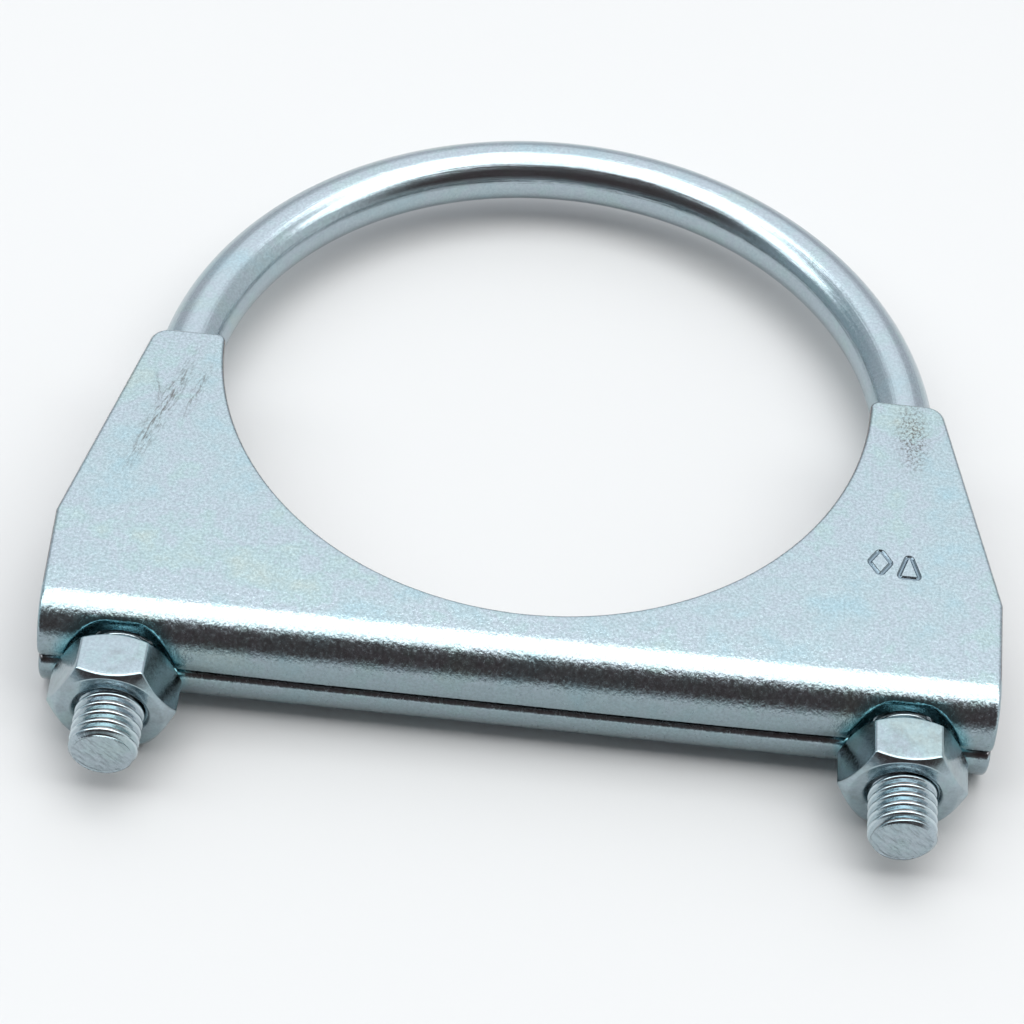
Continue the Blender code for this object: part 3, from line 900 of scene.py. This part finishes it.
def rod_look():
    """Drawn rod: fine lines along it, painted shade and dirt in the thread roots, a painted highlight on
    the thread crests, and saw marks on the ends.
    """
    material, nodes, shader = new_look("zinc_rod")
    place = nodes.add("ShaderNodeTexCoord").outputs["Object"]
    flow = nodes.add("ShaderNodeAttribute", attribute_name="flow").outputs["Vector"]
    colour = zinc_colour(nodes, place, ROD_TONE, 0.7, 0.07)
    fall = nodes.add("ShaderNodeAttribute", attribute_name="fall").outputs["Fac"]
    # Painted shade and dirt: the thread roots are darkened towards brown
    colour = nodes.mix(nodes.ranged(fall, 0.7, 1.0, 0.0, 0.75), colour, THREAD_ROOT_SHADE_COLOUR)
    # Painted highlight: the thread crests are lightened towards a pale blue-grey
    colour = nodes.mix(nodes.ranged(fall, 0.35, 0.05, 0.0, 0.7), colour, THREAD_CREST_HIGHLIGHT_COLOUR)
    on_end = nodes.add("ShaderNodeAttribute", attribute_name="sawn").outputs["Fac"]
    turned = nodes.scaled(place, (1, 1, 1), (0, SAW_MARK_TURN, 0))
    sawn = nodes.noise(nodes.scaled(turned, (500, 1, 2600)), 1.0, 3.0, 0.6)
    saw_marks = nodes.maths("MULTIPLY", nodes.ranged(sawn, 0.45, 0.7), on_end)
    colour = nodes.mix(nodes.maths("MULTIPLY", saw_marks, 0.5), colour, SAW_MARK_COLOUR)
    nodes.feed(shader.inputs["Base Color"], colour)
    lines = nodes.noise(nodes.scaled(flow, (0.05, 9, 9)), 1.0, 4.0, 0.6)
    dents = nodes.noise(nodes.scaled(flow, (0.35, 2.2, 2.2)), 1.0, 2.0, 0.5)
    grain = nodes.noise(place, 2600, 2.0, 0.5)
    nodes.feed(shader.inputs["Roughness"], nodes.ranged(lines, 0.3, 0.7, *ROD_ROUGHNESS))
    normal = bumped(nodes, lines, ROD_LINE_DEPTH * MM)
    normal = bumped(nodes, dents, ROD_DENT_DEPTH * MM, 1.0, normal)
    normal = bumped(nodes, saw_marks, SAW_MARK_DEPTH * MM, 1.0, normal)
    nodes.feed(shader.inputs["Normal"], bumped(nodes, grain, ROD_GRAIN_DEPTH * MM, 1.0, normal))
    return material


GRIME_COLOUR = (0.19, 0.20, 0.20, 1)
NUT_ROUGHNESS = (0.12, 0.24)
NUT_GRAIN_DEPTH = 0.008


def nut_look():
    """Smooth plating with patches of grime."""
    material, nodes, shader = new_look("zinc_nut")
    place = nodes.add("ShaderNodeTexCoord").outputs["Object"]
    colour = zinc_colour(nodes, place, NUT_TONE, 0.8, 0.07)
    grime = nodes.ranged(nodes.noise(place, 420, 5.0, 0.65), 0.46, 0.68)
    colour = nodes.mix(nodes.maths("MULTIPLY", grime, 0.3), colour, GRIME_COLOUR)
    nodes.feed(shader.inputs["Base Color"], colour)
    grain = nodes.noise(place, 2000, 3.0, 0.6)
    nodes.feed(shader.inputs["Roughness"], nodes.ranged(grain, 0.3, 0.7, *NUT_ROUGHNESS))
    nodes.feed(shader.inputs["Normal"], bumped(nodes, grain, NUT_GRAIN_DEPTH * MM))
    return material


def floor_look():
    material = bpy.data.materials.new("pale_floor")
    material.use_nodes = True
    nodes = Nodes(material.node_tree)
    shader = material.node_tree.nodes["Principled BSDF"]
    place = nodes.add("ShaderNodeTexCoord").outputs["Object"]
    tone = nodes.noise(place, 3.0, 2.0)
    nodes.feed(shader.inputs["Base Color"], nodes.mix(tone, *FLOOR_TONES))
    shader.inputs["Roughness"].default_value = 0.9
    shader.inputs["Specular IOR Level"].default_value = 0.1
    return material


# ---------------------------------------------------------------------------------------------------
# Floor, light and camera
# ---------------------------------------------------------------------------------------------------

FLOOR_HALF = 4.0
FLOOR_TONES = ((0.675, 0.68, 0.68, 1), (0.695, 0.70, 0.70, 1))
SOFTBOX_HEIGHT = 0.8
SOFTBOX_RADIANCE = 2.75

# Reach of each softbox as seen from the clamp, in degrees from straight up: in X, then in Y
SOFTBOXES = {
    "wide_softbox": ((-60, 50), (-20, 9)),
    "middle_softbox": ((-22, 25), (9, 26)),
}

# Colours of the room, as light from each direction
LEFT_WALL = (0.42, 0.50, 0.54)
RIGHT_WALL = (0.82, 0.86, 0.87)
BACK_WALL = (0.74, 0.74, 0.78)
BACK_GLOW = (1.37, 1.38, 1.43)
DARK_FRONT = (0.085, 0.065, 0.065)
UNDER = (0.9, 0.9, 0.9)
GLOW_DIRECTION = (0, 0.66, 0.75)
GLOW_REACH = (0.80, 0.97)


def make_floor():
    mesh = bpy.data.meshes.new("floor")
    edge = FLOOR_HALF
    corners = [(-edge, -edge, 0), (edge, -edge, 0), (edge, edge, 0), (-edge, edge, 0)]
    mesh.from_pydata(corners, [], [(0, 1, 2, 3)])
    floor = bpy.data.objects.new("floor", mesh)
    bpy.context.scene.collection.objects.link(floor)
    mesh.materials.append(floor_look())


def make_room():
    """A pale room: a glow above the back, a darker wall to the left, and dark above the front."""
    world = bpy.data.worlds.new("room")
    bpy.context.scene.world = world
    world.use_nodes = True
    nodes = Nodes(world.node_tree)
    direction = nodes.add("ShaderNodeTexCoord").outputs["Generated"]
    split = nodes.add("ShaderNodeSeparateXYZ", {"Vector": direction})
    x, y, z = (split.outputs[axis] for axis in "XYZ")
    level = nodes.maths("SQRT", nodes.maths("MULTIPLY_ADD", z, nodes.maths("MULTIPLY", z, -1), 1))
    to_front = nodes.maths("DIVIDE", nodes.maths("MULTIPLY", y, -1), level)

    colour = nodes.mix(nodes.ranged(x, -0.6, 0.6), (*LEFT_WALL, 1), (*RIGHT_WALL, 1))
    colour = nodes.mix(nodes.ranged(y, 0.2, 0.7), colour, (*BACK_WALL, 1))
    to_glow = nodes.add("ShaderNodeVectorMath", operation="DOT_PRODUCT")
    nodes.feed(to_glow.inputs[0], direction)
    to_glow.inputs[1].default_value = GLOW_DIRECTION
    colour = nodes.mix(nodes.ranged(to_glow.outputs["Value"], *GLOW_REACH), colour, (*BACK_GLOW, 1))
    in_front = nodes.ranged(to_front, 0.22, 0.72)
    above_horizon = nodes.ranged(z, -0.02, 0.26)
    dark = nodes.maths("MULTIPLY", in_front, above_horizon)
    colour = nodes.mix(dark, colour, (*DARK_FRONT, 1))
    colour = nodes.mix(nodes.ranged(z, 0.0, -0.03), colour, (*UNDER, 1))
    nodes.feed(world.node_tree.nodes["Background"].inputs["Color"], colour)


def make_softbox(name, x_angles, y_angles):
    low_x, high_x = (math.tan(math.radians(a)) * SOFTBOX_HEIGHT for a in x_angles)
    low_y, high_y = (math.tan(math.radians(a)) * SOFTBOX_HEIGHT for a in y_angles)
    light = bpy.data.lights.new(name, "AREA")
    light.shape = "RECTANGLE"
    light.size = high_x - low_x
    light.size_y = high_y - low_y
    light.energy = SOFTBOX_RADIANCE * math.pi * light.size * light.size_y
    item = bpy.data.objects.new(name, light)
    item.location = ((low_x + high_x) / 2, (low_y + high_y) / 2, SOFTBOX_HEIGHT)
    bpy.context.scene.collection.objects.link(item)


# Camera: its aim in millimetres from the ring's centre, and angles in degrees
CAMERA_AIM = (-2.61, -15.72, 0.0)
CAMERA_AZIMUTH = 0.39
CAMERA_ELEVATION = 48.65
CAMERA_ROLL = 5.57
CAMERA_DISTANCE = 405.3
CAMERA_LENS = 118.58
CAMERA_SENSOR = 36


def make_camera():
    azimuth, elevation, roll = (math.radians(a) for a in (CAMERA_AZIMUTH, CAMERA_ELEVATION, CAMERA_ROLL))
    back = Vector((
        math.sin(azimuth) * math.cos(elevation),
        -math.cos(azimuth) * math.cos(elevation),
        math.sin(elevation),
    ))
    level = Vector((math.cos(azimuth), math.sin(azimuth), 0))
    above = back.cross(level)
    right = math.cos(roll) * level + math.sin(roll) * above
    up = back.cross(right)
    camera = bpy.data.objects.new("camera", bpy.data.cameras.new("camera"))
    bpy.context.scene.collection.objects.link(camera)
    place = Matrix((right, up, back)).transposed().to_4x4()
    place.translation = RING_CENTRE + (Vector(CAMERA_AIM) + back * CAMERA_DISTANCE) * MM
    camera.matrix_world = place
    camera.data.lens = CAMERA_LENS
    camera.data.sensor_width = CAMERA_SENSOR
    camera.data.clip_start = 0.01
    bpy.context.scene.camera = camera


# ---------------------------------------------------------------------------------------------------

make_camera()
make_floor()
make_room()
for softbox, reach in SOFTBOXES.items():
    make_softbox(softbox, *reach)
bpy.context.scene.view_settings.view_transform = "Standard"

u_bolt = make_u_bolt()
u_bolt.data.materials.append(rod_look())
saddle_piece = make_saddle()
saddle_piece.data.materials.clear()
saddle_piece.data.materials.append(sheet_look())
nut_material = nut_look()
for nut_side in SIDES:
    make_nut(nut_side).data.materials.append(nut_material)
